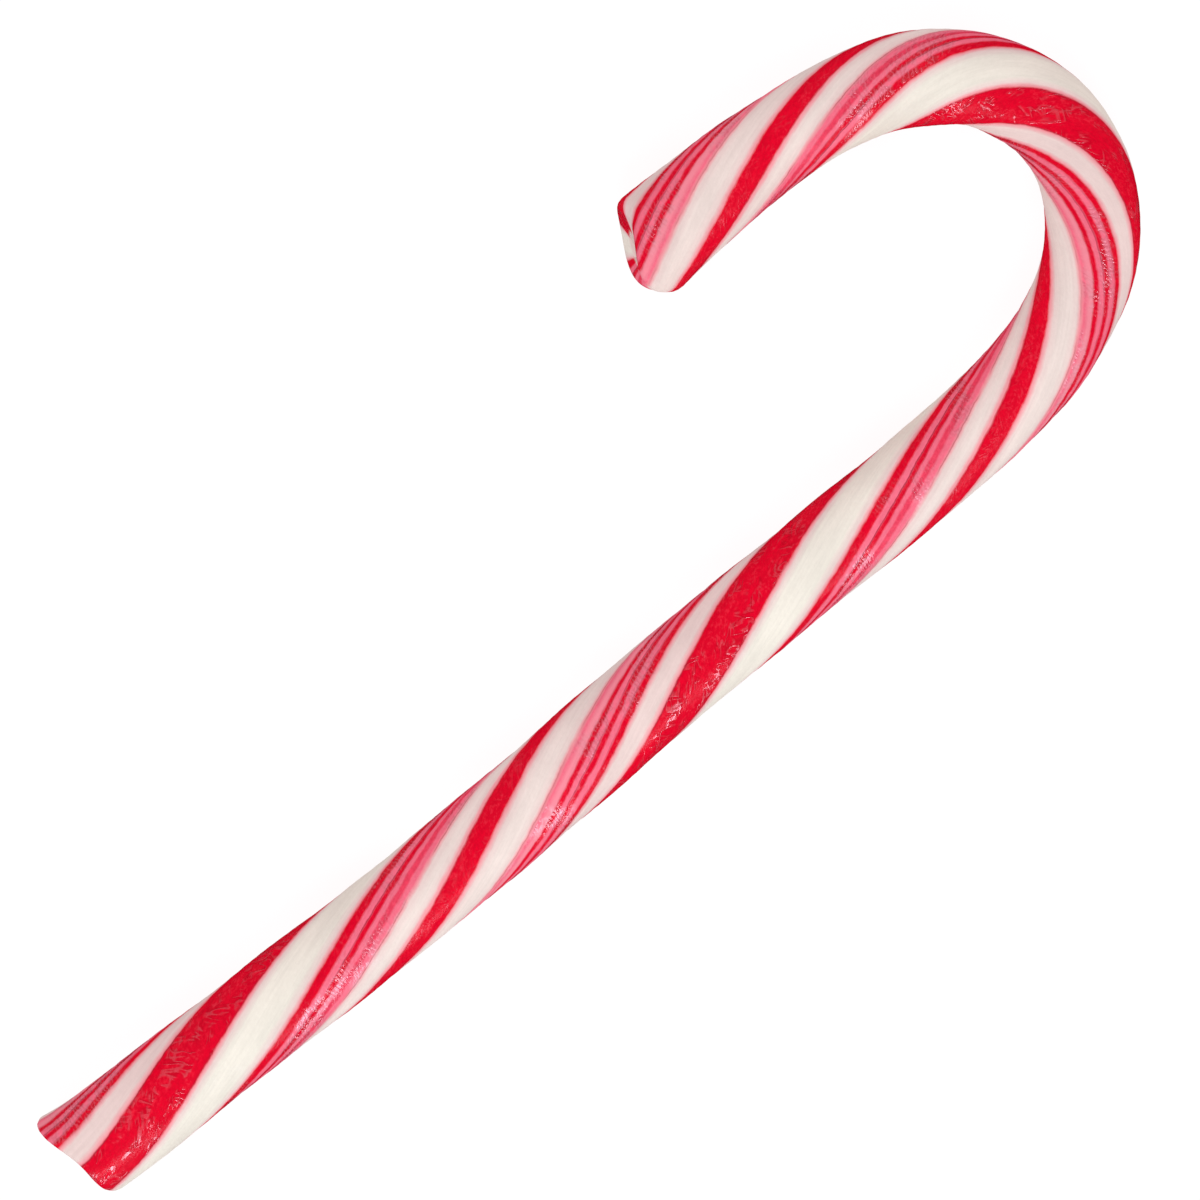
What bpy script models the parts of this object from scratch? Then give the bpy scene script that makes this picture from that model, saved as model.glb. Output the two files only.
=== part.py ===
"""A pulled-sugar candy cane: one solid stick of boiled sugar, striped, twisted and crooked.

The stick is made as a confectioner makes it. It is first a straight roll whose
columns follow the coloured stripes. The roll is then snipped at both ends, twisted,
and bent into a crook while warm, and it settles a little flat where it lies.

The cane lies on its side. The origin is at the middle of its box, on the table.
+Z is up, +Y runs along the shaft towards the crook, and the crook opens towards -X.
"""

import math

import bmesh
import bpy
import numpy as np

MM = 0.001
DEGREE = math.pi / 180

# The stick before it is bent: its length along the middle, and its radius.
STICK_LENGTH = 220.6 * MM
TAIL_RADIUS = 5.43 * MM            # of the rolled stick, without the flare
TIP_RADIUS = 5.00 * MM             # the roll tapers slightly towards the crook's tip
TAIL_FLARE = 0.33 * MM             # both ends are squeezed wider by the snips
TAIL_FLARE_LENGTH = 14 * MM
TIP_FLARE = 0.88 * MM
TIP_FLARE_LENGTH = 30 * MM
NECK_DEPTH = 0.41 * MM             # a pinch where the crook was held
NECK_PLACE = 197.2 * MM
NECK_LENGTH = 10.4 * MM

# The crook: the stick eases into one bend and out again, then curls on to the tip.
BEND_RADIUS = 16.0 * MM
BEND_START = 119.1 * MM
BEND_EASE_IN = 45.5 * MM
BEND_END = 167.0 * MM              # where the stick starts to straighten
BEND_EASE_OUT = 41.1 * MM
TIP_CURL = 22.1 * DEGREE
TIP_CURL_LENGTH = 41.5 * MM

# The shaft isn't quite straight: it sways, and its tail kinks aside.
SWAY = 1.63 * DEGREE
SWAY_WAVELENGTH = 76.7 * MM
SWAY_PLACE = 50.3 * MM
TAIL_KINK = 9.7 * DEGREE
TAIL_KINK_LENGTH = 4.6 * MM

# The twist, left-handed, in turns of the stripes against the stick's own left side.
TWIST_AT_TAIL = 7.9 * DEGREE
TWIST_RATE = 4.20 * DEGREE / MM
SHAFT_TWIST = 0.70 * DEGREE / MM   # wrung tighter at mid-shaft
SHAFT_TWIST_PLACE = 74 * MM
SHAFT_TWIST_LENGTH = 29 * MM
CROOK_TWIST = 1.85 * DEGREE / MM   # and tighter again round the crook
CROOK_TWIST_PLACE = 175.3 * MM
CROOK_TWIST_LENGTH = 26.2 * MM

# The stripes round the roll: colour, first angle and last angle in degrees, columns.
STRIPES = (
    ("white", -8, 34, 4),
    ("pink", 34, 50, 2),
    ("red", 50, 58, 1),
    ("pink", 58, 67, 1),
    ("red", 67, 74, 1),
    ("pink", 74, 82, 1),
    ("red", 82, 92, 1),
    ("white", 92, 125, 3),
    ("red", 125, 181, 5),
    ("white", 181, 242, 5),
    ("red", 242, 252, 1),
    ("pink", 252, 263, 1),
    ("red", 263, 270, 1),
    ("pink", 270, 295, 3),
    ("white", 295, 326, 3),
    ("red", 326, 352, 3),
)

# Low ropes and one valley that run with the stripes: angle, half width, height.
ROPES = (
    (78, 16, 0.05 * MM),
    (109, 16, -0.10 * MM),
    (144, 20, 0.14 * MM),
    (190, 14, 0.07 * MM),
    (240, 23, 0.12 * MM),
    (337, 22, 0.11 * MM),
)

# The rings across the stick, and how it lies.
RING_COUNT = 125
SETTLE = 0.15 * MM                 # how far the underside sank flat as it cooled

# The snipped ends. Angles run round the stick from its own left side, upwards first.
CUT_RINGS = (0.96, 0.86, 0.70, 0.48, 0.22)   # rings of each cut, as shares of the radius
SHEAR_LENGTH = 12 * MM             # how far a cut drags the stick behind it
SHEAR_ROUNDS = 5                   # the drag and the twist are matched in a few rounds
TAIL_CUT = {
    "lean": 0.29,                  # slope of the cut to the left
    "tilt": 0.12,                  # slope of the cut upwards
    "fold": 0.35 * MM,             # two waves round the rim, where the blades met
    "fold_turn": 130 * DEGREE,
    "pucker": 0.67 * MM,           # three waves round the rim
    "pucker_turn": 96 * DEGREE,
    "rim": 0.6 * MM,               # radius of the soft rim
    "rim_swing": -0.2 * MM,        # how much rounder the rim is on the left side
    "dish": 0.6 * MM,              # hollow of the cut
}
TIP_CUT = {
    "lean": 0.44,
    "tilt": -0.12,
    "fold": 1.12 * MM,
    "fold_turn": 153 * DEGREE,
    "pucker": 0.81 * MM,
    "pucker_turn": 173 * DEGREE,
    "rim": 2.0 * MM,
    "rim_swing": 0.8 * MM,
    "dish": 1.0 * MM,
}

COLOURS = {
    "white": (0.84, 0.78, 0.70, 1.0),
    "pink": (0.88, 0.23, 0.29, 1.0),
    "red": (0.74, 0.004, 0.022, 1.0),
}
SUGAR_ROUGHNESS = 0.32


def clear_scene():
    """Remove every object of the scene."""
    for thing in list(bpy.data.objects):
        bpy.data.objects.remove(thing, do_unlink=True)


def sugar_material(name, colour):
    """Boiled sugar of one colour: glossy, not metallic."""
    material = bpy.data.materials.new(name)
    material.use_nodes = True
    shader = material.node_tree.nodes["Principled BSDF"]
    shader.inputs["Base Color"].default_value = colour
    shader.inputs["Roughness"].default_value = SUGAR_ROUGHNESS
    shader.inputs["Metallic"].default_value = 0.0
    material.diffuse_color = colour
    return material


def bump(distance, half_width):
    """A smooth bell of height 1."""
    return math.exp(-(distance / half_width) ** 2)


def bump_run(place, centre, half_width):
    """The area under such a bell from the tail up to a place on the stick."""
    reach = math.erf((place - centre) / half_width) + math.erf(centre / half_width)
    return half_width * math.sqrt(math.pi) / 2 * reach


def eased_run(place, start, ease_length):
    """The length run since a start, where the first stretch counts for less."""
    share = (place - start) / ease_length
    if share <= 0:
        return 0.0
    if share >= 1:
        return place - start - ease_length / 2
    return ease_length * (share ** 3 - share ** 4 / 2)


def bend_angle(place):
    """How far the crook has turned the stick at a place along it."""
    bent = eased_run(place, BEND_START, BEND_EASE_IN)
    straightened = eased_run(place, BEND_END, BEND_EASE_OUT)
    return (bent - straightened) / BEND_RADIUS


def heading(place):
    """The direction of the stick at a place along it, from +X towards +Y."""
    bend = bend_angle(place)
    sway = SWAY * math.sin(2 * math.pi * (place - SWAY_PLACE) / SWAY_WAVELENGTH)
    sway *= 1 - bend / bend_angle(STICK_LENGTH)
    kink = TAIL_KINK * math.exp(-place / TAIL_KINK_LENGTH)
    curl = TIP_CURL * math.exp((place - STICK_LENGTH) / TIP_CURL_LENGTH)
    return math.pi / 2 + bend + sway - kink + curl


def twist_angle(place):
    """How far the stripes have turned at a place along the stick."""
    shaft = SHAFT_TWIST * bump_run(place, SHAFT_TWIST_PLACE, SHAFT_TWIST_LENGTH)
    crook = CROOK_TWIST * bump_run(place, CROOK_TWIST_PLACE, CROOK_TWIST_LENGTH)
    return TWIST_AT_TAIL + TWIST_RATE * place + shaft + crook


def stick_radius(place):
    """The radius of the roll at a place along it."""
    taper = TAIL_RADIUS + (TIP_RADIUS - TAIL_RADIUS) * place / STICK_LENGTH
    tail = TAIL_FLARE * math.exp(-place / TAIL_FLARE_LENGTH)
    tip = TIP_FLARE * math.exp((place - STICK_LENGTH) / TIP_FLARE_LENGTH)
    return taper + tail + tip - NECK_DEPTH * bump(place - NECK_PLACE, NECK_LENGTH)


def rope_height(stripe_angle):
    """How far the ropes lift the surface at an angle round the roll, in radians."""
    height = 0.0
    for centre, half_width, rise in ROPES:
        apart = (math.degrees(stripe_angle) - centre + 180) % 360 - 180
        height += rise * bump(apart, half_width)
    return height


def column_layout():
    """The angle of each column line round the roll, and each column's colour."""
    angles = []
    colours = []
    for colour, first, last, columns in STRIPES:
        for column in range(columns):
            angles.append((first + (last - first) * column / columns) * DEGREE)
            colours.append(colour)
    return angles, colours


class Route:
    """The middle line of the stick, walked in short steps along its heading."""

    STEP = 0.1 * MM
    OVERRUN = 5 * MM

    def __init__(self):
        self.places = np.arange(-self.OVERRUN, STICK_LENGTH + self.OVERRUN, self.STEP)
        turns = np.array([heading(place) for place in self.places])
        self.x = np.cumsum(np.cos(turns)) * self.STEP
        self.y = np.cumsum(np.sin(turns)) * self.STEP

    def point(self, place, sideways, lift):
        """The point beside the middle line: sideways to its left, and lift above it."""
        x = float(np.interp(place, self.places, self.x))
        y = float(np.interp(place, self.places, self.y))
        turn = heading(place)
        level = stick_radius(place) - SETTLE
        return (x - math.sin(turn) * sideways, y + math.cos(turn) * sideways, level + lift)


def rolled_stick(colours):
    """A straight roll of radius 1 and height 1, with rings along it and on its cuts."""
    mesh = bmesh.new()
    bmesh.ops.create_cone(mesh, cap_ends=True, segments=len(colours),
                          radius1=1.0, radius2=1.0, depth=1.0)
    bmesh.ops.translate(mesh, verts=mesh.verts, vec=(0.0, 0.0, 0.5))
    cuts = [face for face in mesh.faces if len(face.verts) == len(colours)]
    sides = [edge for edge in mesh.edges
             if abs(edge.verts[0].co.z - edge.verts[1].co.z) > 0.5]
    bmesh.ops.subdivide_edges(mesh, edges=sides, cuts=RING_COUNT - 2, use_grid_fill=True)
    for cut in cuts:
        outer = 1.0
        for ring in CUT_RINGS:
            bmesh.ops.inset_region(mesh, faces=[cut], thickness=outer - ring,
                                   use_even_offset=False)
            outer = ring
    bmesh.ops.poke(mesh, faces=cuts)
    return mesh


def turn_share(point):
    """How far round the roll a point is, from 0 to 1."""
    return math.atan2(point.y, point.x) % math.tau / math.tau


def colour_columns(mesh, colours, materials):
    """Give each column of the roll its stripe's colour, and each cut a white core."""
    names = list(materials)
    for face in mesh.faces:
        middle = face.calc_center_median()
        colour = colours[math.floor(turn_share(middle) * len(colours))]
        if middle.xy.length < CUT_RINGS[1]:
            colour = "white"
        face.material_index = names.index(colour)
        face.smooth = True


def rim_drop(cut, share, around):
    """How far the soft rim of a cut falls back, at a share of the radius."""
    rim = cut["rim"] + cut["rim_swing"] * math.cos(around)
    inset = min(TAIL_RADIUS * (1 - share), rim)
    return rim - math.sqrt(rim ** 2 - (rim - inset) ** 2)


def stand_out(cut, share, around):
    """How far a cut stands out past the stick's plain end, at a share of the radius."""
    slope = cut["lean"] * math.cos(around) + cut["tilt"] * math.sin(around)
    fold = cut["fold"] * share ** 2 * math.cos(2 * around - cut["fold_turn"])
    pucker = cut["pucker"] * share ** 3 * math.cos(3 * around - cut["pucker_turn"])
    dish = cut["dish"] * (1 - share ** 2)
    return TAIL_RADIUS * share * slope + fold + pucker - dish - rim_drop(cut, share, around)


def settled_place(start, stripe, share):
    """Where along the stick a point ends up, and its angle from the stick's left side."""
    tail_pull = math.exp(-start / SHEAR_LENGTH)
    tip_pull = math.exp((start - STICK_LENGTH) / SHEAR_LENGTH)
    place = start
    for _ in range(SHEAR_ROUNDS):
        around = stripe - twist_angle(place)
        tail = stand_out(TAIL_CUT, share, around) * tail_pull
        tip = stand_out(TIP_CUT, share, around) * tip_pull
        place = start - tail + tip
    return place, stripe - twist_angle(place)


def bent_point(route, angles, vertex):
    """Where a point of the straight roll goes when the stick is snipped and bent."""
    column = round(turn_share(vertex.co) * len(angles)) % len(angles)
    stripe = angles[column]
    share = min(vertex.co.xy.length, 1.0)
    place, around = settled_place(vertex.co.z * STICK_LENGTH, stripe, share)
    reach = (stick_radius(place) + rope_height(stripe)) * share
    return route.point(place, reach * math.cos(around), reach * math.sin(around))


def lay_down(mesh):
    """Flatten what sank into the table, and put the origin under the cane's middle."""
    for vertex in mesh.verts:
        vertex.co.z = max(vertex.co.z, 0.0)
    across = [vertex.co.x for vertex in mesh.verts]
    along = [vertex.co.y for vertex in mesh.verts]
    middle = ((min(across) + max(across)) / 2, (min(along) + max(along)) / 2, 0.0)
    bmesh.ops.translate(mesh, verts=mesh.verts, vec=[-value for value in middle])


def build_cane():
    """The whole cane, as one solid."""
    materials = {name: sugar_material(name + "_sugar", colour)
                 for name, colour in COLOURS.items()}
    angles, colours = column_layout()
    mesh = rolled_stick(colours)
    colour_columns(mesh, colours, materials)
    route = Route()
    for vertex in mesh.verts:
        vertex.co = bent_point(route, angles, vertex)
    lay_down(mesh)
    bmesh.ops.recalc_face_normals(mesh, faces=mesh.faces)
    shape = bpy.data.meshes.new("candy_cane")
    mesh.to_mesh(shape)
    mesh.free()
    for material in materials.values():
        shape.materials.append(material)
    cane = bpy.data.objects.new("candy_cane", shape)
    bpy.context.scene.collection.objects.link(cane)


clear_scene()
build_cane()
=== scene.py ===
"""The looks of a pulled-sugar candy cane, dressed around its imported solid."""

import math

import bmesh
import bpy
import numpy as np
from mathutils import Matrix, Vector, noise


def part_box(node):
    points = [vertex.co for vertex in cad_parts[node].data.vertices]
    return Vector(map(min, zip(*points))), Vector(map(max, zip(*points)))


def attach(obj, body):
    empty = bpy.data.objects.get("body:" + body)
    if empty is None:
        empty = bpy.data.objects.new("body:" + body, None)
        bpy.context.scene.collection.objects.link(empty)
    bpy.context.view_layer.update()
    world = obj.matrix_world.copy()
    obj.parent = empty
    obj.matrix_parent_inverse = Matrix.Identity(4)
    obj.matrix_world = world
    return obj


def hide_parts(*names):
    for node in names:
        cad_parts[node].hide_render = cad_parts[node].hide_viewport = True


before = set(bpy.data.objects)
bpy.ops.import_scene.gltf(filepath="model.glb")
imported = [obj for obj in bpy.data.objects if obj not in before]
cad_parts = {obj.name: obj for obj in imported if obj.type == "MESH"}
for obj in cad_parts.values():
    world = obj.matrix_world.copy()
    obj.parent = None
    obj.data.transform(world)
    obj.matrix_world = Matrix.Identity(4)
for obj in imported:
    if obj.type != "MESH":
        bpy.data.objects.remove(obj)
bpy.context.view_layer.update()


# The stick. A candy cane is a single stick of boiled sugar: air-pulled white sugar with
# coloured sugar laid along its outside, rolled out round and smooth while it is hot. It
# starts as a straight roll, whose columns lie closer together where its stripes are fine.

MM = 0.001                          # every length of the cane below is in millimetres
STICK_LENGTH = 220.6
RING_COUNT = 1040

# Stretches round the roll: first angle, last angle in degrees, and columns.
COLUMN_STRETCHES = (
    (-8, 34, 7),
    (34, 92, 24),
    (92, 125, 6),
    (125, 168, 9),
    (168, 181, 6),
    (181, 242, 10),
    (242, 295, 20),
    (295, 326, 5),
    (326, 352, 6),
)
CUT_RINGS = (0.98, 0.94, 0.89, 0.83, 0.75, 0.64, 0.50, 0.34, 0.17)   # shares of the radius


def column_angles():
    """The angle of each column line round the roll, in radians."""
    angles = []
    for first, last, columns in COLUMN_STRETCHES:
        angles += [first + (last - first) * column / columns for column in range(columns)]
    return np.radians(angles)


def straight_roll(columns):
    """A straight roll of radius 1 and height 1, with rings along it and on its two cuts."""
    roll = bmesh.new()
    bmesh.ops.create_cone(roll, cap_ends=True, segments=columns,
                          radius1=1.0, radius2=1.0, depth=1.0)
    bmesh.ops.translate(roll, verts=roll.verts, vec=(0.0, 0.0, 0.5))
    cuts = [face for face in roll.faces if len(face.verts) == columns]
    sides = [edge for edge in roll.edges
             if abs(edge.verts[0].co.z - edge.verts[1].co.z) > 0.5]
    bmesh.ops.subdivide_edges(roll, edges=sides, cuts=RING_COUNT - 2, use_grid_fill=True)
    for cut in cuts:
        outer = 1.0
        for ring in CUT_RINGS:
            bmesh.ops.inset_region(roll, faces=[cut], thickness=outer - ring,
                                   use_even_offset=False)
            outer = ring
    bmesh.ops.poke(roll, faces=cuts)
    bmesh.ops.recalc_face_normals(roll, faces=roll.faces)
    for face in roll.faces:
        face.smooth = True
    return roll


stick_columns = column_angles()
stick_roll = straight_roll(len(stick_columns))
stick_mesh = bpy.data.meshes.new("pulled_sugar_stick")
stick_roll.to_mesh(stick_mesh)
stick_roll.free()

straight = np.empty(len(stick_mesh.vertices) * 3)
stick_mesh.vertices.foreach_get("co", straight)
straight = straight.reshape(-1, 3)
share = np.minimum(np.hypot(straight[:, 0], straight[:, 1]), 1.0)
turn = np.arctan2(straight[:, 1], straight[:, 0]) % math.tau / math.tau
column = np.rint(turn * len(stick_columns)).astype(int) % len(stick_columns)
stripe = stick_columns[column]
start = straight[:, 2] * STICK_LENGTH


# The snips, the twist and the crook. The roll is held by its ends and wrung, so that its
# stripes wind round it, then bent over a form by hand and snipped to length with shears.
# The shears squeeze both ends wider and drag the outside of the stick over each cut.

TAIL_RADIUS = 5.43
TIP_RADIUS = 5.00
TAIL_FLARE = 0.33
TAIL_FLARE_LENGTH = 14.0
TIP_FLARE = 0.88
TIP_FLARE_LENGTH = 30.0
NECK_DEPTH = 0.41                   # a pinch where the crook was held
NECK_PLACE = 197.2
NECK_LENGTH = 10.4

BEND_RADIUS = 16.0
BEND_START = 119.1
BEND_EASE_IN = 45.5
BEND_END = 167.0
BEND_EASE_OUT = 41.1
TIP_CURL = math.radians(22.1)
TIP_CURL_LENGTH = 41.5
SWAY = math.radians(1.63)
SWAY_WAVELENGTH = 76.7
SWAY_PLACE = 50.3
TAIL_KINK = math.radians(9.7)
TAIL_KINK_LENGTH = 4.6

TWIST_AT_TAIL = math.radians(7.9)
TAIL_TWIST = math.radians(13.0)     # the last stretch was gripped and wrung less
TAIL_TWIST_LENGTH = 7.0
TWIST_RATE = math.radians(4.20)     # for each millimetre of the stick
SHAFT_TWIST = math.radians(0.70)
SHAFT_TWIST_PLACE = 74.0
SHAFT_TWIST_LENGTH = 29.0
CROOK_TWIST = math.radians(1.85)
CROOK_TWIST_PLACE = 175.3
CROOK_TWIST_LENGTH = 26.2

SETTLE = 0.15                       # how far the underside sank flat as it cooled
SHEAR_LENGTH = 12.0                 # how far a cut drags the stick behind it
SHEAR_ROUNDS = 5
ROUTE_STEP = 0.1
ROUTE_OVERRUN = 5.0
TAIL_CUT = {
    "lean": 0.29, "tilt": 0.12,
    "fold": 0.35, "fold_turn": math.radians(130),
    "pucker": 0.67, "pucker_turn": math.radians(96),
    "rim": 0.6, "rim_swing": -0.2, "dish": 0.6,
}
TIP_CUT = {
    "lean": 0.44, "tilt": -0.12,
    "fold": 1.12, "fold_turn": math.radians(153),
    "pucker": 0.81, "pucker_turn": math.radians(173),
    "rim": 2.0, "rim_swing": 0.8, "dish": 1.0,
}


def bell(distance, half_width):
    """A smooth bell of height 1."""
    return np.exp(-(distance / half_width) ** 2)


def eased_run(place, begin, ease_length):
    """The length run since a start, where the first stretch counts for less."""
    part = np.clip((place - begin) / ease_length, 0.0, 1.0)
    eased = ease_length * (part ** 3 - part ** 4 / 2)
    return np.where(part < 1.0, eased, place - begin - ease_length / 2)


def stick_radius(place):
    """The radius of the roll at a place along it."""
    taper = TAIL_RADIUS + (TIP_RADIUS - TAIL_RADIUS) * place / STICK_LENGTH
    tail = TAIL_FLARE * np.exp(-place / TAIL_FLARE_LENGTH)
    tip = TIP_FLARE * np.exp((place - STICK_LENGTH) / TIP_FLARE_LENGTH)
    return taper + tail + tip - NECK_DEPTH * bell(place - NECK_PLACE, NECK_LENGTH)


def stand_out(cut, share, around):
    """How far a cut stands out past the stick's plain end, at a share of the radius."""
    slope = cut["lean"] * np.cos(around) + cut["tilt"] * np.sin(around)
    fold = cut["fold"] * share ** 2 * np.cos(2 * around - cut["fold_turn"])
    pucker = cut["pucker"] * share ** 3 * np.cos(3 * around - cut["pucker_turn"])
    rim = cut["rim"] + cut["rim_swing"] * np.cos(around)
    inset = np.minimum(TAIL_RADIUS * (1 - share), rim)
    rim_drop = rim - np.sqrt(rim ** 2 - (rim - inset) ** 2)
    dish = cut["dish"] * (1 - share ** 2)
    return TAIL_RADIUS * share * slope + fold + pucker - dish - rim_drop


route_places = np.arange(-ROUTE_OVERRUN, STICK_LENGTH + ROUTE_OVERRUN, ROUTE_STEP)
bend = (eased_run(route_places, BEND_START, BEND_EASE_IN)
        - eased_run(route_places, BEND_END, BEND_EASE_OUT)) / BEND_RADIUS
sway = SWAY * np.sin(math.tau * (route_places - SWAY_PLACE) / SWAY_WAVELENGTH)
sway *= 1 - bend / np.interp(STICK_LENGTH, route_places, bend)
kink = TAIL_KINK * np.exp(-route_places / TAIL_KINK_LENGTH)
curl = TIP_CURL * np.exp((route_places - STICK_LENGTH) / TIP_CURL_LENGTH)
route_heading = math.pi / 2 + bend + sway - kink + curl
route_x = np.cumsum(np.cos(route_heading)) * ROUTE_STEP
route_y = np.cumsum(np.sin(route_heading)) * ROUTE_STEP
twist_rate = (TWIST_RATE
              + SHAFT_TWIST * bell(route_places - SHAFT_TWIST_PLACE, SHAFT_TWIST_LENGTH)
              + CROOK_TWIST * bell(route_places - CROOK_TWIST_PLACE, CROOK_TWIST_LENGTH))
route_twist = np.cumsum(twist_rate) * ROUTE_STEP
route_twist += TWIST_AT_TAIL - np.interp(0.0, route_places, route_twist)
route_twist += TAIL_TWIST * np.exp(-route_places / TAIL_TWIST_LENGTH)

tail_pull = np.exp(-start / SHEAR_LENGTH)
tip_pull = np.exp((start - STICK_LENGTH) / SHEAR_LENGTH)
place = start
for _ in range(SHEAR_ROUNDS):
    around = stripe - np.interp(place, route_places, route_twist)
    place = (start - stand_out(TAIL_CUT, share, around) * tail_pull
             + stand_out(TIP_CUT, share, around) * tip_pull)
around = stripe - np.interp(place, route_places, route_twist)


# The surface. Pulled sugar is never quite round: each stripe is a strand that keeps a low
# rope of its own, with a seam where it meets the next. The skin wrinkles across the stick
# as it is wrung, and hands leave slow hollows in it while it is still soft.

# Ropes and valleys along the stripes: angle and half width in degrees, height.
ROPES = (
    (78, 16, 0.05),
    (109, 16, -0.10),
    (144, 20, 0.14),
    (190, 14, 0.07),
    (240, 23, 0.12),
    (337, 22, 0.11),
)
# Seams between fine strands, and the small crowns between them.
SEAMS = (
    (35, 2.6, -0.050),
    (43, 6.0, 0.030),
    (54, 3.2, -0.035),
    (62, 3.2, 0.035),
    (70, 3.0, -0.040),
    (78, 3.2, 0.035),
    (93, 3.0, -0.040),
    (124, 4.5, -0.045),
    (182, 3.0, -0.050),
    (241, 3.5, -0.040),
    (258, 4.0, 0.040),
    (266, 3.0, -0.050),
    (273, 3.2, 0.030),
    (289, 4.5, 0.030),
    (295.5, 2.8, -0.045),
    (325, 4.0, -0.040),
    (353, 4.0, -0.040),
)
SKIN = 0.06                         # kept back from the solid's own surface
HOLLOW_HEIGHT = 0.10
SHIVER_HEIGHT = 0.030               # small shivers across the stick
TABLE = 0.0


def noise_at(across, along, seed):
    """Smooth noise on the roll, about -1 to 1, with its grain across and along the stick."""
    places = zip(np.cos(stripe) / across, np.sin(stripe) / across, place / along)
    return np.array([noise.noise(Vector((x, y, z + seed))) for x, y, z in places])


relief = np.zeros(len(stripe))
for angle, half_width, height in ROPES + SEAMS:
    apart = (np.degrees(stripe) - angle + 180) % 360 - 180
    relief += height * bell(apart, half_width)
relief += HOLLOW_HEIGHT * noise_at(0.9, 11.0, 3.0)
relief += SHIVER_HEIGHT * noise_at(0.35, 0.8, 70.0)

reach = (stick_radius(place) + relief - SKIN) * share
sideways = reach * np.cos(around)
lift = reach * np.sin(around)
heading_here = np.interp(place, route_places, route_heading)
settled = np.empty_like(straight)
settled[:, 0] = np.interp(place, route_places, route_x) - np.sin(heading_here) * sideways
settled[:, 1] = np.interp(place, route_places, route_y) + np.cos(heading_here) * sideways
settled[:, 2] = np.maximum(stick_radius(place) - SETTLE + lift, TABLE)
cane_low, cane_high = (np.array(corner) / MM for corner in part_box("candy_cane"))
for axis in (0, 1):
    middle = (settled[:, axis].min() + settled[:, axis].max()) / 2
    settled[:, axis] += (cane_low[axis] + cane_high[axis]) / 2 - middle
stick_mesh.vertices.foreach_set("co", (settled * MM).ravel())
stick_mesh.update()

# Where each point lay on the straight roll, in millimetres: the stripes are laid by it.
ROLL_RADIUS = 5.3
laid = np.stack((ROLL_RADIUS * share * np.cos(stripe),
                 ROLL_RADIUS * share * np.sin(stripe), place), axis=1)
laid_on_mesh = stick_mesh.attributes.new("laid_place", "FLOAT_VECTOR", "POINT")
laid_on_mesh.data.foreach_set("vector", laid.ravel())


# The sugar itself. One broad red, one narrow red and two bundles of fine red and pink
# strands are coloured sugar, laid on the white before rolling. The red is clear and glossy,
# the white is satiny from the air pulled into it, and colour bleeds a little into it.

CREAM = (0.900, 0.893, 0.788)
PALE_WHITE = (0.905, 0.815, 0.755)
ROSY_WHITE = (0.878, 0.732, 0.692)
CORE_WHITE = (0.860, 0.720, 0.660)
BLUSH = (0.950, 0.385, 0.420)
PINK = (0.985, 0.190, 0.280)
PALE_PINK = (0.990, 0.300, 0.375)
ROSE = (0.900, 0.060, 0.125)
RED = (0.810, 0.0010, 0.024)
DEEP_RED = (0.815, 0.0015, 0.028)
# a pale pink painted highlight, laid on crests, wrinkle crests and flecks
PAINTED_GLINT_PINK = (0.980, 0.320, 0.420)
SHADOW_RED = (0.560, 0.001, 0.016)
HAIRLINE_RED = (0.420, 0.008, 0.035)

# Round the roll: the angle where a colour starts, how soft that start is, the colour.
STRIPES = (
    (25.0, 8.0, ROSY_WHITE),
    (32.4, 4.5, BLUSH),
    (37.2, 4.0, PINK),
    (43.0, 5.0, PALE_PINK),
    (51.8, 3.0, DEEP_RED),
    (58.6, 2.6, PINK),
    (67.2, 2.2, DEEP_RED),
    (73.8, 2.6, PINK),
    (82.8, 2.2, RED),
    (90.8, 3.0, BLUSH),
    (95.0, 5.0, ROSY_WHITE),
    (119.0, 7.0, BLUSH),
    (124.2, 3.0, RED),
    (180.2, 3.6, BLUSH),
    (184.0, 5.0, ROSY_WHITE),
    (190.0, 8.0, CREAM),
    (230.5, 9.0, ROSY_WHITE),
    (236.6, 5.0, BLUSH),
    (240.8, 3.0, RED),
    (252.8, 3.0, PINK),
    (262.2, 2.4, DEEP_RED),
    (268.6, 2.6, PINK),
    (275.4, 2.4, ROSE),
    (283.0, 3.0, PINK),
    (291.2, 3.6, BLUSH),
    (295.2, 5.0, ROSY_WHITE),
    (303.0, 8.0, PALE_WHITE),
    (314.0, 6.0, ROSY_WHITE),
    (319.0, 5.0, BLUSH),
    (324.4, 3.0, RED),
    (351.6, 3.2, BLUSH),
    (356.6, 5.5, ROSY_WHITE),
    (364.0, 8.0, PALE_WHITE),
)
# One ramp holds too few stops for all the stripes, so they are read in four parts.
STRIPE_PARTS = (14.0, 109.0, 210.0, 309.0, 374.0)
STRIPE_DRIFT = 3.0                  # degrees that the stripes wander as they are drawn out
STRIPE_WAVER = 4.5                  # degrees that their edges waver

# Dark hairlines where strands meet: angle, half width in degrees, darkness.
HAIRLINES = (
    (35.6, 1.2, 0.70),
    (51.4, 1.0, 0.40),
    (66.4, 1.2, 0.90),
    (82.0, 1.1, 0.60),
    (125.2, 1.2, 0.80),
    (178.2, 1.3, 0.70),
    (261.6, 1.2, 0.90),
    (269.0, 1.0, 0.45),
    (292.2, 1.2, 0.80),
    (325.6, 1.2, 0.65),
)

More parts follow.
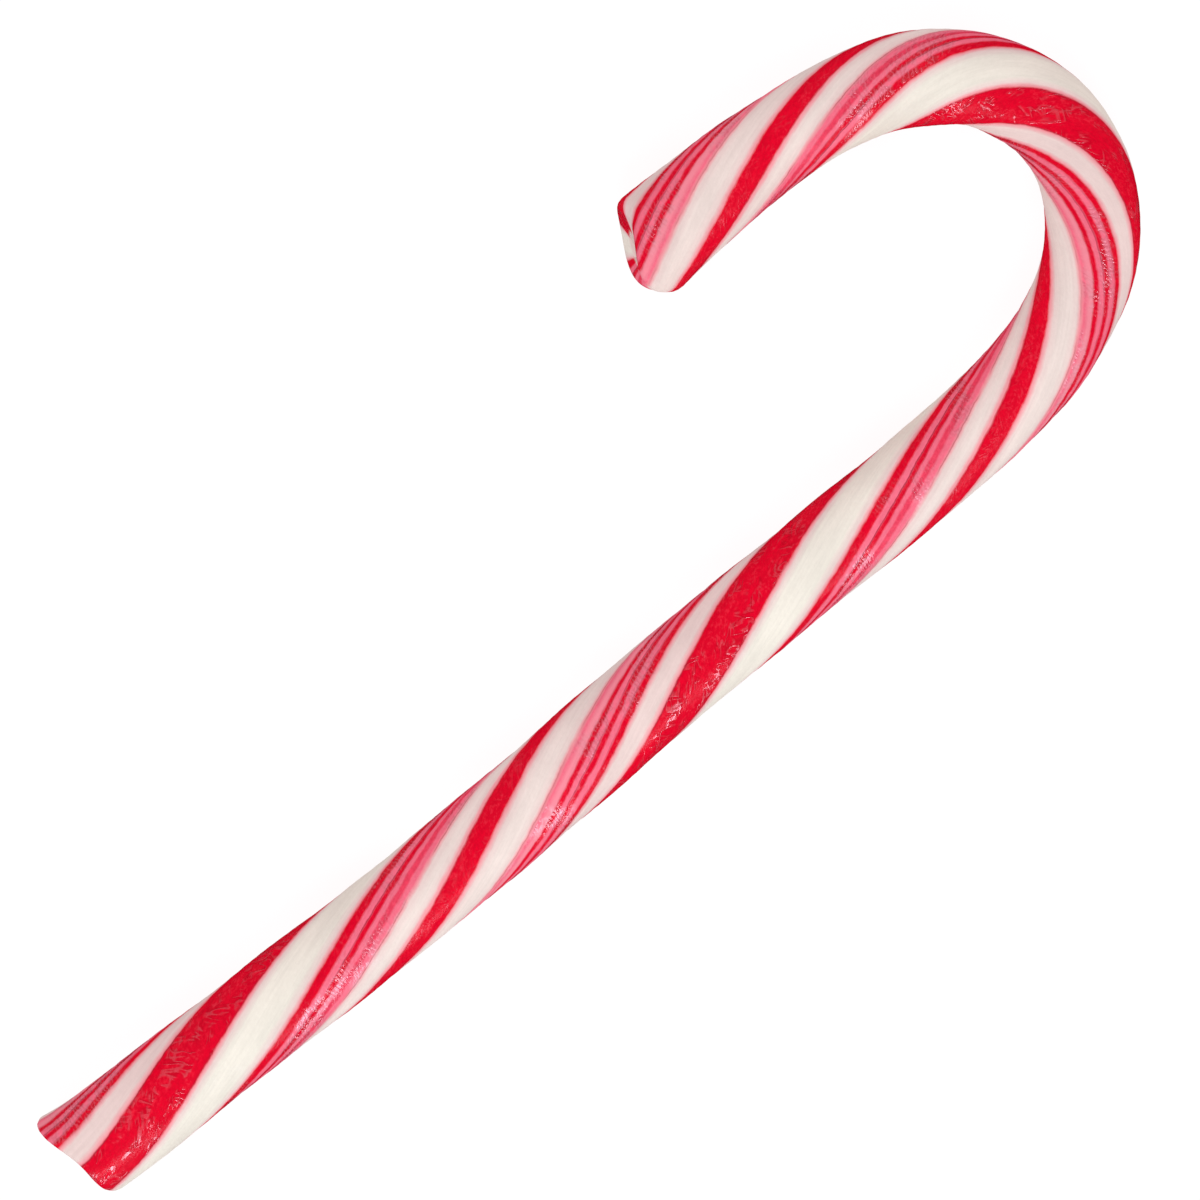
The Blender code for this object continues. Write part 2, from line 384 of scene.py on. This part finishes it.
# Where the broad red and the two bundles of strands begin, are whole, and end.
BROAD_RED = (120.0, 130.0, 176.0, 186.0)
FIRST_BUNDLE = (34.0, 40.0, 90.0, 96.0)
SECOND_BUNDLE = (240.0, 246.0, 291.0, 298.0)
WRINKLE_LENGTH = 0.48
CRINKLE_SLANTS = ((0.7, 0.95), (-0.5, 1.25))    # slant along the stick, and fineness
CREST_LEVEL = 0.50                  # the level of the noise that a crest follows
CREASE_LEVEL = 0.58                 # and the level that the crease beside it follows
LINE_WIDTH = 0.075

# Heights of the relief that is too fine for the mesh, in millimetres.
WRINKLE_HEIGHT = 0.038
WRINKLE_HEIGHT_ELSEWHERE = 0.008
CREST_HEIGHT = 0.034
FLECK_HEIGHT = 0.012
DRAWN_HEIGHT = 0.035
DIMPLE_HEIGHT = 0.045
HAIRLINE_DEPTH = 0.040


class Recipe:
    """A material's nodes, mixed together step by step."""

    def __init__(self, name):
        self.material = bpy.data.materials.new(name)
        self.material.use_nodes = True
        self.nodes = self.material.node_tree.nodes
        self.links = self.material.node_tree.links
        self.shader = self.nodes["Principled BSDF"]

    def give(self, entry, value):
        """Feed an input with a number, a colour or another node's output."""
        if isinstance(value, bpy.types.NodeSocket):
            self.links.new(value, entry)
        else:
            entry.default_value = value

    def add(self, kind, entries=(), **settings):
        """A new node with its settings, and what goes into its inputs."""
        node = self.nodes.new(kind)
        for name, value in settings.items():
            setattr(node, name, value)
        for name, value in dict(entries).items():
            self.give(node.inputs[name], value)
        return node

    def sum(self, operation, *values, clamp=False):
        """The result of one step of arithmetic."""
        node = self.add("ShaderNodeMath", enumerate(values),
                        operation=operation, use_clamp=clamp)
        return node.outputs[0]

    def times(self, *values):
        """Several values multiplied together."""
        product = values[0]
        for value in values[1:]:
            product = self.sum("MULTIPLY", product, value)
        return product

    def between(self, value, low, high, to_low=0.0, to_high=1.0):
        """A value eased from one range to another."""
        node = self.add("ShaderNodeMapRange",
                        {"Value": value, "From Min": low, "From Max": high,
                         "To Min": to_low, "To Max": to_high},
                        interpolation_type="SMOOTHSTEP")
        return node.outputs["Result"]

    def within(self, value, begin, whole, fading, end):
        """1 inside a stretch, eased to 0 at both of its ends."""
        return self.times(self.between(value, begin, whole), self.between(value, end, fading))

    def stretched(self, vector, x, y, z):
        """A vector scaled along each axis."""
        node = self.add("ShaderNodeVectorMath", {0: vector, 1: (x, y, z)},
                        operation="MULTIPLY")
        return node.outputs["Vector"]

    def noise(self, vector, scale, detail=2.0, roughness=0.5, distortion=0.0):
        """Smooth noise, about 0 to 1."""
        node = self.add("ShaderNodeTexNoise",
                        {"Vector": vector, "Scale": scale, "Detail": detail,
                         "Roughness": roughness, "Distortion": distortion})
        return node.outputs["Fac"]

    def blend(self, part, first, second, mode="MIX"):
        """Two colours mixed."""
        node = self.add("ShaderNodeMix", {"Factor": part}, data_type="RGBA", blend_type=mode)
        colour_inputs = [entry for entry in node.inputs if entry.type == "RGBA"]
        for entry, value in zip(colour_inputs, (first, second)):
            self.give(entry, value if isinstance(value, bpy.types.NodeSocket) else (*value, 1.0))
        return next(outlet for outlet in node.outputs if outlet.type == "RGBA")

    def ramp(self, part, stops):
        """A colour read from a row of stops."""
        node = self.add("ShaderNodeValToRGB", {"Fac": part})
        row = node.color_ramp.elements
        row[0].position, row[0].color = stops[0][0], (*stops[0][1], 1.0)
        row[1].position, row[1].color = stops[-1][0], (*stops[-1][1], 1.0)
        for position, colour in stops[1:-1]:
            stop = row.new(position)
            stop.color = (*colour, 1.0)
        return node.outputs["Color"]


def stripe_stops(first, last):
    """The stops of the stripes between two angles, as shares of that stretch."""
    stops = []
    before = STRIPES[-1][2]
    for angle, softness, colour in STRIPES:
        for edge, shade in ((angle - softness / 2, before), (angle + softness / 2, colour)):
            stops.append((edge, shade))
        before = colour
    inside = [((edge - first) / (last - first), shade) for edge, shade in stops
              if first < edge < last]
    opening = [shade for edge, shade in stops if edge <= first][-1:] or [STRIPES[-1][2]]
    closing = [shade for edge, shade in stops if edge >= last][:1] or [STRIPES[-1][2]]
    return [(0.0, opening[0]), *inside, (1.0, closing[0])]


def stripe_colour(mix, angle):
    """The colour of the stripe at an angle round the roll."""
    colour = None
    for first, last in zip(STRIPE_PARTS, STRIPE_PARTS[1:]):
        share_of_part = mix.sum("DIVIDE", mix.sum("SUBTRACT", angle, first), last - first)
        stripes_here = mix.ramp(share_of_part, stripe_stops(first, last))
        if colour is None:
            colour = stripes_here
        else:
            colour = mix.blend(mix.sum("GREATER_THAN", angle, first), colour, stripes_here)
    return colour


def hairline_darkness(mix, laid, wander):
    """Hairlines come and go along the seams between the strands."""
    turn = mix.sum("DIVIDE", mix.sum("WRAP", wander, 360.0, 0.0), 360.0)
    stops = [(0.0, (0, 0, 0))]
    for line, half_width, darkness in HAIRLINES:
        stops += [((line - half_width) / 360, (0, 0, 0)),
                  (line / 360, (darkness, darkness, darkness)),
                  ((line + half_width) / 360, (0, 0, 0))]
    stops.append((1.0, (0, 0, 0)))
    gaps = mix.noise(mix.stretched(laid, 0.5, 0.5, 0.16), 1.0, detail=2.0)
    return mix.times(mix.ramp(turn, stops), mix.between(gaps, 0.34, 0.52))


def wrinkle_wave(mix, laid, along):
    """Wrinkles across the stick, -1 to 1, a little jostled, and where they show."""
    jostled = mix.noise(mix.stretched(laid, 1.0, 1.0, 0.5), 0.35, detail=0.0)
    uneven = mix.noise(laid, 1.4, detail=3.0, roughness=0.6)
    bars = mix.sum("MULTIPLY_ADD", jostled, 1.6, along)
    bars = mix.sum("MULTIPLY_ADD", uneven, 1.15, bars)
    wave = mix.sum("SINE", mix.times(bars, math.tau / WRINKLE_LENGTH))
    patches = mix.noise(mix.stretched(laid, 0.25, 0.25, 0.12), 1.0, detail=2.0)
    broken = mix.noise(mix.stretched(laid, 1.0, 1.0, 0.8), 1.5, detail=2.0)
    return wave, mix.times(mix.between(patches, 0.46, 0.60), mix.between(broken, 0.36, 0.54))


def crinkle_lines(mix, laid, along, broad):
    """Crinkles scribbled over the red, most of all the broad red: crests and creases."""
    along_twice = mix.add("ShaderNodeCombineXYZ", {"X": along, "Y": along}).outputs["Vector"]
    flattened = mix.stretched(laid, 1.0, 1.0, 0.45)
    lines = [0.0, 0.0]
    for slant, fineness in CRINKLE_SLANTS:
        slanted = mix.add("ShaderNodeVectorMath",
                          {0: along_twice, 1: (slant, slant, 0.0), 2: flattened},
                          operation="MULTIPLY_ADD").outputs["Vector"]
        contour = mix.noise(slanted, fineness, detail=1.0, distortion=0.5)
        spread = mix.noise(mix.stretched(laid, 0.5, 0.5, 0.3), fineness, detail=2.0)
        here = mix.between(spread, 0.51, 0.61)
        for row, level in enumerate((CREST_LEVEL, CREASE_LEVEL)):
            apart = mix.sum("ABSOLUTE", mix.sum("SUBTRACT", contour, level))
            line = mix.between(apart, LINE_WIDTH, 0.0)
            lines[row] = mix.sum("MULTIPLY_ADD", line, here, lines[row])
    strength = mix.between(broad, 0.0, 1.0, 0.30, 1.0)
    return [mix.sum("MULTIPLY", line, strength, clamp=True) for line in lines]


def striped_sugar():
    """The striped sugar of the whole stick."""
    mix = Recipe("striped_pulled_sugar")
    laid = mix.add("ShaderNodeAttribute", attribute_name="laid_place").outputs["Vector"]
    axes = mix.add("ShaderNodeSeparateXYZ", {"Vector": laid}).outputs
    turned = mix.sum("ARCTAN2", axes["Y"], axes["X"])
    degrees = mix.times(turned, 180 / math.pi)

    drift = mix.noise(mix.stretched(laid, 0.16, 0.16, 0.085), 1.0, detail=1.0)
    waver = mix.noise(mix.stretched(laid, 1.0, 1.0, 0.7), 0.9, detail=4.0, roughness=0.6)
    wander = mix.sum("MULTIPLY_ADD", mix.sum("SUBTRACT", drift, 0.5), STRIPE_DRIFT, degrees)
    wander = mix.sum("MULTIPLY_ADD", mix.sum("SUBTRACT", waver, 0.5), STRIPE_WAVER, wander)
    angle = mix.sum("WRAP", wander, STRIPE_PARTS[-1], STRIPE_PARTS[0])
    colour = stripe_colour(mix, angle)
    hairline = hairline_darkness(mix, laid, wander)

    # How much red a place holds: the green light it throws back tells.
    green = mix.add("ShaderNodeSeparateColor", {"Color": colour}).outputs["Green"]
    redness = mix.between(green, 0.35, 0.02)

    broad = mix.within(angle, *BROAD_RED)
    bundles = mix.sum("ADD", mix.within(angle, *FIRST_BUNDLE),
                      mix.within(angle, *SECOND_BUNDLE))
    wave, wrinkled = wrinkle_wave(mix, laid, axes["Z"])
    strand_wrinkles = mix.times(wrinkled, bundles)
    crests, creases = crinkle_lines(mix, laid, axes["Z"], broad)

    # Depth of colour: cloudy patches, streaks drawn out along the stripes, and a grain
    # that rises to flecks in the crinkled red, which are painted pale as small painted
    # highlights.
    clouds = mix.noise(mix.stretched(laid, 0.30, 0.30, 0.12), 1.0, detail=3.0)
    streaks = mix.noise(mix.stretched(laid, 1.0, 1.0, 0.06), 2.6, detail=3.0, roughness=0.6)
    grain = mix.noise(laid, 2.6, detail=3.0, roughness=0.65)
    shade = mix.times(mix.between(clouds, 0.25, 0.75, 0.94, 1.04),
                      mix.between(streaks, 0.25, 0.75, 0.96, 1.03))
    graininess = mix.between(redness, 0.0, 1.0, 0.02, 0.09)
    grain_shade = mix.sum("MULTIPLY_ADD", mix.between(grain, 0.3, 0.7, -1.0, 1.0),
                          graininess, 1.0)
    shade = mix.times(shade, grain_shade)
    strength = mix.add("ShaderNodeCombineColor", {"Red": shade, "Green": shade, "Blue": shade})
    colour = mix.blend(1.0, colour, strength.outputs["Color"], "MULTIPLY")
    fleck_patches = mix.noise(mix.stretched(laid, 0.45, 0.45, 0.25), 1.0, detail=3.0)
    flecks = mix.times(mix.between(grain, 0.50, 0.64), mix.between(fleck_patches, 0.47, 0.58))

    # Painted light on the wrinkles and crinkles: a pale pink painted highlight on each crest,
    # and a deep red painted shadow in the trough or crease beside it.
    wave_crests = mix.times(mix.between(wave, 0.0, 0.9), strand_wrinkles)
    wave_troughs = mix.times(mix.between(wave, -0.1, -0.9), strand_wrinkles)
    for part, tint in ((mix.times(wave_crests, 0.22), PAINTED_GLINT_PINK),
                       (mix.times(wave_troughs, 0.16), SHADOW_RED),
                       (mix.times(flecks, redness, 0.05), PAINTED_GLINT_PINK),
                       (mix.times(crests, redness, 0.10), PAINTED_GLINT_PINK),
                       (mix.times(creases, redness, 0.60), SHADOW_RED),
                       (hairline, HAIRLINE_RED)):
        colour = mix.blend(part, colour, tint)

    # The snipped ends: past the rim the colour thins out over the white core.
    from_middle = mix.add("ShaderNodeVectorMath", {0: mix.stretched(laid, 1, 1, 0)},
                          operation="LENGTH").outputs["Value"]
    frayed = mix.sum("MULTIPLY_ADD", mix.noise(laid, 0.8, detail=3.0), 0.20,
                     mix.sum("DIVIDE", from_middle, ROLL_RADIUS))
    colour = mix.blend(mix.between(frayed, 0.60, 0.48), colour, CORE_WHITE)

    # Gloss: white sugar is satiny, and the clear red shines where it is wrinkled.
    smears = mix.noise(mix.stretched(laid, 0.5, 0.5, 0.25), 1.0, detail=4.0, roughness=0.6)
    roughness = mix.sum("ADD", mix.between(redness, 0.0, 1.0, 0.50, 0.20),
                        mix.between(smears, 0.40, 0.62, 0.0, 0.12))
    puckered = mix.sum("MULTIPLY_ADD", crests, 0.70, strand_wrinkles, clamp=True)
    sheen = mix.between(puckered, 0.0, 1.0, 0.05, 1.0)

    # Relief too fine for the mesh, and faint on the white.
    drawn = mix.noise(mix.stretched(laid, 1.0, 1.0, 0.12), 2.4, detail=2.0)
    wrinkle_height = mix.between(bundles, 0.0, 1.0, WRINKLE_HEIGHT_ELSEWHERE, WRINKLE_HEIGHT)
    height = mix.times(wave, wrinkled, wrinkle_height)
    for form, rise in ((crests, CREST_HEIGHT), (flecks, FLECK_HEIGHT), (drawn, DRAWN_HEIGHT),
                       (mix.noise(laid, 1.3, detail=3.0), DIMPLE_HEIGHT),
                       (hairline, -HAIRLINE_DEPTH)):
        height = mix.sum("MULTIPLY_ADD", form, rise, height)
    height = mix.times(height, mix.between(redness, 0.0, 1.0, 0.15, 1.0))
    bump = mix.add("ShaderNodeBump", {"Height": height, "Strength": 1.0, "Distance": MM})

    mix.give(mix.shader.inputs["Base Color"], colour)
    mix.give(mix.shader.inputs["Roughness"], roughness)
    mix.give(mix.shader.inputs["Normal"], bump.outputs["Normal"])
    mix.give(mix.shader.inputs["Specular IOR Level"], sheen)
    mix.shader.inputs["IOR"].default_value = 1.50
    mix.shader.inputs["Subsurface Weight"].default_value = 0.0
    return mix.material


stick_mesh.materials.append(striped_sugar())
stick = bpy.data.objects.new("pulled_sugar_stick", stick_mesh)
bpy.context.scene.collection.objects.link(stick)
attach(stick, "root")
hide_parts("candy_cane")


# The table under the cane, a white light table wider than anything the camera can see. It
# is a sheet of matt acrylic over lamps, so it shows pure white and throws no shadow back.

TABLE_HALF = 1.5                    # metres


def lit_board():
    """Matt white acrylic, faintly mottled and lit from below."""
    mix = Recipe("lit_board")
    place = mix.add("ShaderNodeTexCoord").outputs["Object"]
    mottling = mix.noise(place, 6.0, detail=2.0)
    tone = mix.ramp(mottling, [(0.0, (0.15, 0.15, 0.15)), (1.0, (0.17, 0.17, 0.17))])
    mix.give(mix.shader.inputs["Base Color"], tone)
    mix.shader.inputs["Roughness"].default_value = 0.9
    mix.shader.inputs["Specular IOR Level"].default_value = 0.0
    mix.shader.inputs["Emission Color"].default_value = (1.0, 1.0, 1.0, 1.0)
    mix.shader.inputs["Emission Strength"].default_value = 0.90
    return mix.material


board_shape = bmesh.new()
bmesh.ops.create_grid(board_shape, x_segments=1, y_segments=1, size=TABLE_HALF)
board_mesh = bpy.data.meshes.new("table_top")
board_shape.to_mesh(board_mesh)
board_shape.free()
board_mesh.materials.append(lit_board())
table_top = bpy.data.objects.new("table_top", board_mesh)
bpy.context.scene.collection.objects.link(table_top)
table_top.visible_diffuse = False   # so that the board throws no glare up at the cane
table_top.visible_glossy = False


# The studio: one broad soft lamp, a low strip on the same side for the gloss, and an even,
# slightly rosy room that only fills the shadows.

cane_middle = Vector((0.0075, 0.0037, 0.0053))


def soft_lamp(name, azimuth, elevation, distance, size, strength, colour):
    """A rectangular lamp turned to the cane. Azimuth is from +X towards +Y, and strength
    is the share of full white that it gives a white surface facing it."""
    light = bpy.data.lights.new(name, "AREA")
    light.shape = "RECTANGLE"
    light.size, light.size_y = size
    light.energy = strength * (math.pi * distance) ** 2
    light.color = colour
    a, e = math.radians(azimuth), math.radians(elevation)
    away = Vector((math.cos(a) * math.cos(e), math.sin(a) * math.cos(e), math.sin(e)))
    lamp = bpy.data.objects.new(name, light)
    lamp.location = cane_middle + away * distance
    lamp.rotation_euler = away.to_track_quat("Z", "Y").to_euler()
    bpy.context.scene.collection.objects.link(lamp)
    return lamp


key_lamp = soft_lamp("key_lamp", -27, 52, 0.9, (0.7, 0.5), 0.31, (0.80, 1.0, 0.98))
key_lamp.visible_glossy = False
gloss_strip = soft_lamp("gloss_strip", -26, 20, 0.8, (1.0, 0.30), 1.8, (0.84, 0.84, 1.0))
gloss_strip.visible_diffuse = False
room = bpy.data.worlds.new("pale_room")
room.use_nodes = True
room.node_tree.nodes["Background"].inputs["Color"].default_value = (0.822, 0.715, 0.735, 1.0)
room.node_tree.nodes["Background"].inputs["Strength"].default_value = 1.0
bpy.context.scene.world = room
room.cycles_visibility.glossy = False


# The camera looks straight down on the cane with a long lens, turned so that the crook
# points up and to the right.

LENS = 600.0                        # millimetres
SENSOR = 36.0
FRAME_WIDTH = 0.132                 # metres across the picture at the cane's mid height
CAMERA_TURN = math.radians(51.184)

camera_data = bpy.data.cameras.new("camera")
camera_data.lens = LENS
camera_data.sensor_width = SENSOR
camera = bpy.data.objects.new("camera", camera_data)
camera.location = cane_middle + Vector((0.0, 0.0, FRAME_WIDTH * LENS / SENSOR))
camera.rotation_euler = (0.0, 0.0, CAMERA_TURN)
bpy.context.scene.collection.objects.link(camera)
bpy.context.scene.camera = camera
bpy.context.scene.view_settings.view_transform = "Standard"
